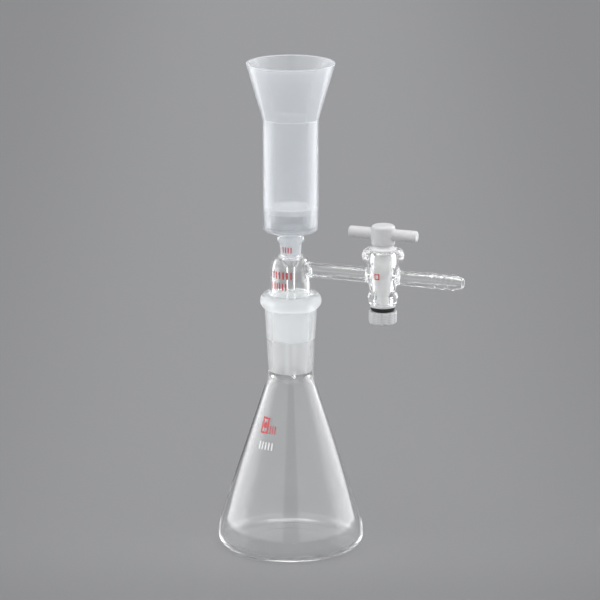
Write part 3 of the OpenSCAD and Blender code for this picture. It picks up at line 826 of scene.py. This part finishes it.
def make_plug():
    root_r, start, end = THREAD_R - THREAD_DEPTH, THREAD_END_Z + LEAD_IN, THREAD_TOP_Z

    def threaded(angle, r, z):
        if z > end - 0.01 or z < start or r < THREAD_R - 0.01:
            return r
        fade = min(1, (z - start) / THREAD_FADE, (end - z) / THREAD_FADE)
        return r - THREAD_DEPTH * (1 - thread_wave(angle, z) * fade)

    collar_top_z, neck_top_z = COLLAR_Z + COLLAR_H, HUB_Z - 0.02
    outline = ([(0, THREAD_END_Z), (root_r, THREAD_END_Z, 0.2), (root_r, THREAD_END_Z + 0.4)]
               + [(THREAD_R, z) for z in np.arange(THREAD_END_Z + 0.5, end, THREAD_STEP)]
               + [(root_r, end), (root_r, end + 0.6, 0.2), (THREAD_R, end + 1.0, 0.2),
                  (THREAD_R, SHANK_TOP_Z, 0.3),
                  (plug_fit_r(SHANK_TOP_Z + 0.5), SHANK_TOP_Z + 0.5, 0.3),
                  (plug_fit_r(TAPER_END_Z), COLLAR_Z, 0.2), (COLLAR_R, COLLAR_Z, 0.3),
                  (COLLAR_R, collar_top_z, 0.5), (HUB_NECK_R, collar_top_z + 0.3, 0.3),
                  (HUB_NECK_R, neck_top_z, 0.1), (0, neck_top_z)])
    piece = new_piece("stopcock_key", "key", lathe(outline, 96, COCK_X, threaded), [PTFE])
    hole = bmesh.new()
    bmesh.ops.create_cone(hole, cap_ends=True, segments=48, radius1=PLUG_HOLE_R * MM,
                          radius2=PLUG_HOLE_R * MM, depth=2 * COLLAR_R * MM)
    boolean(piece, hole, ARM_Z, Matrix.Rotation(math.pi / 2, 4, "Y"), "DIFFERENCE")
    square = bmesh.new()
    bmesh.ops.create_cube(square, size=1)
    side = (DRIVE_W - 0.04) * MM
    size = Matrix.Diagonal((side, side, (DRIVE_H + 0.9) * MM, 1))
    boolean(piece, square, HUB_Z + DRIVE_H / 2 - 0.5, size, "UNION")
    piece.data.set_sharp_from_angle(angle=math.radians(32))
    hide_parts("stopcock_plug")


def make_handle():
    hub = Turned([(HUB_NECK_R, HUB_Z), (HUB_R, HUB_Z + 0.9, 0.8), (HUB_R, HUB_TOP_Z, HUB_ROUND)],
                 soften=0.06)
    bar = Turned([(HANDLE_R, 0, END_ROUND), (HANDLE_R, HANDLE_L, END_ROUND)], soften=0.06)

    def distance(points):
        x, y, z = points[:, 0] - COCK_X, points[:, 1], points[:, 2]
        solid = joined(hub(np.hypot(x, y), z),
                       bar(np.hypot(y, z - HANDLE_Z), x + HANDLE_L / 2), 0.9)
        square = np.maximum(np.maximum(np.abs(x), np.abs(y)) - DRIVE_W / 2,
                            np.abs(z - HUB_Z) - DRIVE_H)
        return cut(solid, square, 0.1)

    reach_x, reach_y = HANDLE_L / 2 + 1, HUB_R + 1
    piece = distance_piece("stopcock_tee", "key", distance,
                           (COCK_X - reach_x, -reach_y, HUB_Z - 1),
                           (COCK_X + reach_x, reach_y, HUB_TOP_Z + 1), 0.4, [HANDLE])
    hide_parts("stopcock_handle")


def make_seals():
    hole, middle = THREAD_R + THREAD_GAP, (WASHER_Z + WASHER_TOP_Z) / 2
    outline = [(hole, middle), (hole, WASHER_Z, 0.1), (WASHER_R, WASHER_Z, 0.25),
               (WASHER_R, WASHER_TOP_Z, 0.25), (hole, WASHER_TOP_Z, 0.1), (hole, middle)]
    piece = new_piece("flat_washer", "seals", lathe(outline, 120, COCK_X),
                      [WASHER])
    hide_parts("stopcock_washer")
    side = (RING_TOP_Z - RING_Z) / 2
    middle, inner = RING_Z + side, RING_IN_R + side
    outline = ([(inner + 0.3, RING_TOP_Z), (inner, RING_TOP_Z)]
               + oval((inner, middle), (side, side), 95, 265, 18)
               + oval((RING_R - side, middle), (side, side), -90, 90, 18)
               + [(inner + 0.3, RING_TOP_Z)])
    piece = new_piece("rubber_ring", "seals", lathe(outline, 120, COCK_X), [RUBBER])
    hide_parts("stopcock_o_ring")


def make_nut():
    bore_r, edge_r, start, end = THREAD_R + THREAD_GAP, THREAD_R + 0.5, NUT_Z + 0.7, NUT_TOP_Z - 0.8
    flute_x = NUT_R + FLUTE_R - FLUTE_DEPTH

    def carved(angle, r, z):
        if r < bore_r + 0.01:
            fade = max(0, min(1, (z - start) / THREAD_FADE, (end - z) / THREAD_FADE))
            return bore_r - THREAD_DEPTH * fade * (1 - thread_wave(angle, z))
        if r < FLUTE_FROM_R:
            return r
        step = 2 * math.pi / NUT_FLUTES
        off = (angle % step) - step / 2
        across = FLUTE_R ** 2 - (flute_x * math.sin(off)) ** 2
        if across <= 0:
            return r
        floor = flute_x * math.cos(off) - math.sqrt(across)
        h = min(1, max(0, 0.5 + 0.5 * (floor - r) / FLUTE_EASE))
        return floor * (1 - h) + r * h - FLUTE_EASE * h * (1 - h)

    inner = [(bore_r, z) for z in np.arange(end, start, -THREAD_STEP)]
    half = len(inner) // 2
    outline = (inner[half:] + [(edge_r, NUT_Z, 0.15), (NUT_R, NUT_Z, NUT_ROUND),
                               (NUT_R, NUT_TOP_Z, 0.4), (edge_r, NUT_TOP_Z, 0.15)]
               + inner[:half + 1])
    piece = new_piece("fluted_nut", "nut", lathe(outline, 288, COCK_X, carved),
                      [NUT], sharp=50)
    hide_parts("stopcock_nut")


# ---- printed marks
def print_marks(name, body, material, strokes, surface_r, centre_x=0.0):
    """Thin enamel strokes on a turned surface. A stroke is (first angle, last angle, foot, top)."""
    bm = bmesh.new()
    for first, last, foot, top in strokes:
        across = max(2, math.ceil((last - first) / INK_STEP))
        section = [(surface_r(z) + lift, z)
                   for lift, z in zip(INK + INK[::-1], (foot, foot, top, top))]
        rings = []
        for k in range(across + 1):
            a = math.radians(CAMERA_AZIMUTH - 90 + first + (last - first) * k / across)
            rings.append([bm.verts.new(((centre_x + r * math.cos(a)) * MM,
                                        r * math.sin(a) * MM, z * MM)) for r, z in section])
        for one, two in zip(rings, rings[1:]):
            for i in range(4):
                bm.faces.new((one[i - 1], two[i - 1], two[i], one[i]))
        bm.faces.new(rings[0])
        bm.faces.new(rings[-1][::-1])
    piece = loose_mesh(name, bm)
    piece.data.materials.append(material)
    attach(piece, body)


def bars(first, last, foot, top, count, share=0.4):
    """A row of upright bars, in place of lettering."""
    step = (last - first) / count
    return [(first + k * step, first + (k + share) * step, foot, top) for k in range(count)]


def outlined(first, last, foot, top, line_angle, line):
    """The four sides of a box."""
    return [(first, last, foot, foot + line), (first, last, top - line, top),
            (first, first + line_angle, foot + line, top - line),
            (last - line_angle, last, foot + line, top - line)]


def socket_r(z):
    """Radius of the funnel socket's outside at a height."""
    return SOCKET_FOOT_R + (SOCKET_OUT_R - SOCKET_FOOT_R) * (z - SEAL_Z) / SOCKET_FLARE_H


def barrel_r(z):
    """Radius of the barrel's outside near the side arm's height."""
    return BARREL_R_AT_ARM + BARREL_LEAN * (z - ARM_Z)


def make_marks():
    box = outlined(-50, -36, 71.5, 80.5, 3, 1.0) + [(-46, -40, 74.5, 77.5)]
    print_marks("flask_mark", "flask", RED, box + bars(-33, -21, 71.8, 76.2, 3), flask_r)
    print_marks("flask_volume_mark", "flask", WHITE, bars(-46, -22, 62.8, 67.0, 5), flask_r)
    print_marks("adapter_mark", "adapter", RED,
                bars(-70, 10, 161.0, 165.2, 7) + bars(-62, -7, 154.6, 158.6, 6),
                lambda z: CHAMBER_R)
    print_marks("socket_mark", "adapter", RED, bars(-48, 14, 175.2, 178.6, 4), socket_r)
    print_marks("stopcock_mark", "adapter", RED, outlined(-33, -14, 165.2, 168.6, 4, 0.6),
                barrel_r, COCK_X)


make_flask()
make_adapter()
make_funnel()
make_plug()
make_handle()
make_seals()
make_nut()
make_marks()
pieces = list(bpy.context.scene.objects)


# ---- floor, light and camera
FLOOR_HALF = 14
FLOOR_LOW, FLOOR_HIGH = (0.301, 0.303, 0.309), (0.31, 0.312, 0.318)
# painted shade of the floor, darker across the view and towards the camera: start and end in
# metres, and shares
FLOOR_PAINTED_SHADE = ((0.03, 0.32, 1.0, 0.78), (-0.03, 0.15, 1.0, 0.88))
# surround: strength behind and in front, and the angles from the camera where it changes
BACK, FRONT, FRONT_FADE = 0.35, 1.25, (105, 65)
STRIP_DROP, STRIP_FADE = 0.7, (18, 7)
CEILING_FROM, CEILING_SHARE = (0.5, 0.75), 0.5
OVERHEAD, OVERHEAD_FROM = 1.5, (0.72, 0.9)
COOL_WHITE = (1.0, 1.0, 1.015, 1)
# side glows: azimuths from the camera and half width in degrees, radius and top in metres
GLOW_SIDES = (("left_glow", -110), ("right_glow", 110))
GLOW_HALF, GLOW_R, GLOW_TOP, GLOW_STRENGTH = 45, 0.55, 0.8, 2.2
GLOW_FADE, GLOW_UP_FADE = (0.2, 1.0), (0.55, 1.0)
GLOW_STEPS = 24
# top glow: height, half size and distance behind the axis in metres
TOP_Z, TOP_HALF, TOP_BACK, TOP_STRENGTH, TOP_FADE = 1.3, 0.5, 0.3, 7.0, (0.5, 1.0)
TOP_LIT = ("conical_flask", "glass_adapter")
VIEW_ANGLE = math.radians(CAMERA_AZIMUTH)
RIGHT = Vector((math.cos(VIEW_ANGLE), math.sin(VIEW_ANGLE), 0))
TOWARDS = Vector((math.sin(VIEW_ANGLE), -math.cos(VIEW_ANGLE), 0))


def along(tree, place, direction):
    """How far a place lies along a direction."""
    return add_node(tree, "VectorMath", {0: place, 1: direction},
                    operation="DOT_PRODUCT").outputs["Value"]


def make_floor():
    """A pale floor with painted shade: its colour darkens gently to the sides and towards the
    camera.
    """
    bm = bmesh.new()
    bmesh.ops.create_grid(bm, x_segments=1, y_segments=1, size=FLOOR_HALF)
    piece = loose_mesh("floor", bm)
    material = finish("pale_paper", (700.0, 0.05, 0.0003), (FLOOR_LOW, FLOOR_HIGH),
                      Roughness=0.75)
    tree = material.node_tree
    place = tree.nodes["Texture Coordinate"].outputs["Object"]
    ways = maths(tree, "ABSOLUTE", along(tree, place, RIGHT)), along(tree, place, TOWARDS)
    # painted shade: the floor's colour darkens to the sides and towards the camera
    fades = [mapped(tree, way, *fade) for way, fade in zip(ways, FLOOR_PAINTED_SHADE)]
    shade_base(tree, maths(tree, "MULTIPLY", *fades))
    piece.data.materials.append(material)


def make_world():
    """Soft studio surround: pale in front with a darker strip, dim behind, a pale ceiling."""
    world = bpy.data.worlds.new("studio")
    world.use_nodes = True
    tree = world.node_tree
    place = add_node(tree, "TexCoord").outputs["Generated"]
    height = add_node(tree, "SeparateXYZ", {"Vector": place}).outputs["Z"]
    level = maths(tree, "SUBTRACT", 1.0, maths(tree, "MULTIPLY", height, height))
    level = maths(tree, "SQRT", maths(tree, "MAXIMUM", level, 0.0001))
    across = maths(tree, "DIVIDE", along(tree, place, TOWARDS), level)

    def turned_to(fade, start, end):
        """A number that changes between two angles from the camera's side."""
        return mapped(tree, across, *(math.cos(math.radians(a)) for a in fade), start, end)

    front = turned_to(FRONT_FADE, BACK, FRONT)
    front = maths(tree, "SUBTRACT", front, turned_to(STRIP_FADE, 0.0, STRIP_DROP))
    front = maths(tree, "MULTIPLY", front, mapped(tree, height, *CEILING_FROM, 1.0, CEILING_SHARE))
    total = maths(tree, "ADD", front, mapped(tree, height, *OVERHEAD_FROM, 0.0, OVERHEAD))
    background = tree.nodes["Background"]
    background.inputs["Color"].default_value = COOL_WHITE
    tree.links.new(total, background.inputs["Strength"])
    bpy.context.scene.world = world


def glow_sheet(name, grid, strength, fades, lit, lights_matt):
    """A sheet that adds a soft glow to reflections. Neither the camera nor a ray that has come
    straight through glass sees it.

    grid is rows of points, and lit the pieces that the glow reaches. The fades are the inner
    and outer distance from the sheet's middle, along the rows and across them, as shares of
    its half size.
    """
    bm = bmesh.new()
    uv = bm.loops.layers.uv.new("place")
    rows, count = len(grid) - 1, len(grid[0]) - 1
    points = [[bm.verts.new(p) for p in row] for row in grid]
    for j in range(rows):
        for k in range(count):
            spots = ((k, j), (k + 1, j), (k + 1, j + 1), (k, j + 1))
            face = bm.faces.new([points[v][u] for u, v in spots])
            for loop, (u, v) in zip(face.loops, spots):
                loop[uv].uv = (u / count, v / rows)
    piece = loose_mesh(name, bm)
    material, tree, shader = new_material(name)
    tree.nodes.remove(shader)
    place = add_node(tree, "TexCoord").outputs["UV"]
    split = add_node(tree, "SeparateXYZ", {"Vector": place}).outputs
    total = strength
    for axis, (inner, outer) in zip("XY", fades):
        off = maths(tree, "ABSOLUTE", maths(tree, "SUBTRACT", split[axis], 0.5))
        total = maths(tree, "MULTIPLY", total, mapped(tree, off, inner / 2, outer / 2, 1.0, 0.0))
    path = add_node(tree, "LightPath").outputs
    reflected = maths(tree, "GREATER_THAN", path["Glossy Depth"], 0.5)
    straight = maths(tree, "SUBTRACT", path["Is Transmission Ray"], path["Is Diffuse Ray"])
    straight = maths(tree, "MAXIMUM", maths(tree, "SUBTRACT", straight, reflected), 0.0)
    total = maths(tree, "MULTIPLY", total, maths(tree, "SUBTRACT", 1.0, straight))
    glow = add_node(tree, "Emission", {"Color": COOL_WHITE, "Strength": total})
    both = add_node(tree, "AddShader", {
        0: glow.outputs["Emission"], 1: add_node(tree, "BsdfTransparent").outputs["BSDF"]})
    tree.links.new(both.outputs["Shader"], tree.nodes["Material Output"].inputs["Surface"])
    material.cycles.emission_sampling = "FRONT_BACK" if lights_matt else "NONE"
    piece.data.materials.append(material)
    piece.visible_camera = piece.visible_shadow = False
    piece.visible_diffuse = lights_matt
    receivers = piece.light_linking.receiver_collection = bpy.data.collections.new(name)
    for thing in lit:
        receivers.objects.link(thing)


def make_glows():
    """A tall curved glow on each side, which spares the floor, and a flat one over the glass."""
    for name, azimuth in GLOW_SIDES:
        angles = [math.radians(CAMERA_AZIMUTH + azimuth + GLOW_HALF * (k / GLOW_STEPS - 1))
                  for k in range(2 * GLOW_STEPS + 1)]
        grid = [[(GLOW_R * math.sin(a), -GLOW_R * math.cos(a), z) for a in angles]
                for z in (-GLOW_TOP, 0.0, GLOW_TOP)]
        glow_sheet(name, grid, GLOW_STRENGTH, (GLOW_FADE, GLOW_UP_FADE), pieces, True)
    middle = Vector((0, 0, TOP_Z)) - TOWARDS * TOP_BACK
    grid = [[middle + RIGHT * TOP_HALF * u - TOWARDS * TOP_HALF * v for u in (-1, 0, 1)]
            for v in (-1, 0, 1)]
    glass = [piece for piece in pieces if piece.name in TOP_LIT]
    glow_sheet("top_glow", grid, TOP_STRENGTH, (TOP_FADE, TOP_FADE), glass, False)


def make_camera():
    data = bpy.data.cameras.new("camera")
    data.lens = FOCAL_MM
    camera = placed("camera", data)
    camera.location = TOWARDS * CAMERA_DISTANCE + Vector((0, 0, CAMERA_HEIGHT))
    camera.rotation_euler = (math.radians(90 - CAMERA_PITCH), 0,
                             math.radians(CAMERA_AZIMUTH - CAMERA_AIM))
    bpy.context.scene.camera = camera


make_floor()
make_world()
make_glows()
make_camera()

scene = bpy.context.scene
scene.view_settings.view_transform = "Standard"
for kind in ("max", "transmission", "transparent_max", "glossy"):
    setattr(scene.cycles, kind + "_bounces", 64)
scene.cycles.diffuse_bounces = 6
scene.cycles.use_denoising = True
